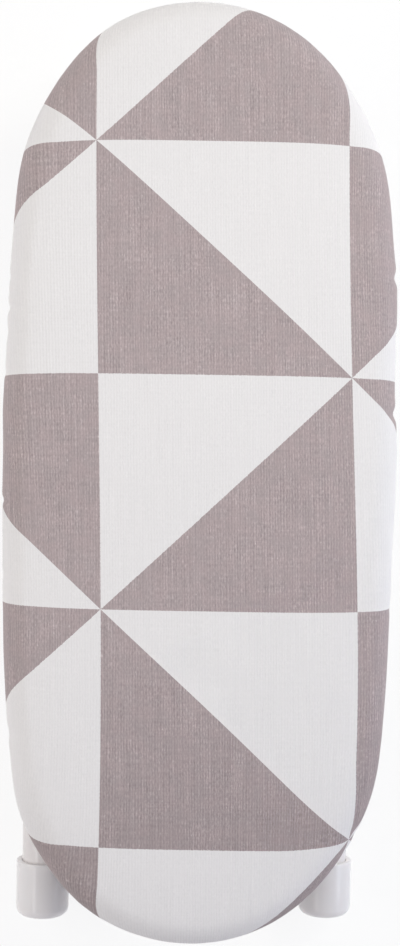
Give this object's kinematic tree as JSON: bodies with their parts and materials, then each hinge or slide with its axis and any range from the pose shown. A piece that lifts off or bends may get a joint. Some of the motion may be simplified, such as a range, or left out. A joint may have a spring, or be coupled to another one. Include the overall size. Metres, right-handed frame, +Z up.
{
  "type": "tabletop ironing board",
  "caption": "Small tabletop ironing board with a padded patchwork cotton cover on a pierced steel deck, and tubular scissor legs that fold flat under it.",
  "frame": {"origin": "on the floor under the middle of the board, folded and lying on its foot caps", "axes": "+X across the board, +Y along it to the far end, +Z up; the foot caps that show past the board are at the near end, -Y"},
  "size_m": [0.2, 0.482, 0.0807],
  "materials": {
    "cover_cloth": "plain-weave cotton, white with taupe triangles",
    "pad_felt": "needled felt",
    "elastic": "braided elastic cord",
    "painted_steel": "white gloss powder coat",
    "zinc_steel": "bright zinc plate",
    "nylon": "natural nylon",
    "cap_plastic": "white moulded plastic, satin"
  },
  "bodies": {
    "board": {"cover": "cover_cloth", "hem_elastic": "elastic", "pad": "pad_felt", "deck": "painted_steel", "rim": "painted_steel", "pivot_rail_near": "painted_steel", "pivot_rail_far": "painted_steel", "middle_rail": "painted_steel", "slide_rail_near": "painted_steel", "slide_rail_far": "painted_steel", "pivot_seat_left": "nylon", "pivot_seat_right": "nylon", "pivot_strap_left": "zinc_steel", "pivot_strap_right": "zinc_steel", "pivot_rivet_left_near": "zinc_steel", "pivot_rivet_left_far": "zinc_steel", "pivot_rivet_right_near": "zinc_steel", "pivot_rivet_right_far": "zinc_steel", "rack_left": "nylon", "rack_right": "nylon", "keeper_left": "zinc_steel", "keeper_right": "zinc_steel", "guide_rivet_left_near": "zinc_steel", "guide_rivet_left_far": "zinc_steel", "guide_rivet_right_near": "zinc_steel", "guide_rivet_right_far": "zinc_steel"},
    "outer_leg": {"outer_leg": "painted_steel", "foot_cap_near_left": "cap_plastic", "foot_cap_near_right": "cap_plastic", "scissor_pin_left": "zinc_steel", "scissor_pin_right": "zinc_steel", "scissor_spacer_left": "nylon", "scissor_spacer_right": "nylon", "scissor_cap_left": "cap_plastic", "scissor_cap_right": "cap_plastic"},
    "inner_leg": {"inner_leg": "painted_steel", "foot_cap_far_left": "cap_plastic", "foot_cap_far_right": "cap_plastic"}
  },
  "joints": [
    {"name": "outer_leg_fold", "type": "hinge", "parent": "board", "child": "outer_leg", "pos_m": [0, 0.141, 0.04275], "axis": [1, 0, 0], "range_deg": [0, 25.59]},
    {"name": "scissor_pivot", "type": "hinge", "parent": "outer_leg", "child": "inner_leg", "pos_m": [0, -0.0085, 0.03122], "axis": [1, 0, 0], "range_deg": [-51.18, 0]}
  ],
  "couplings": [
    {"joint": "scissor_pivot", "follows": "outer_leg_fold", "ratio": -2}
  ]
}
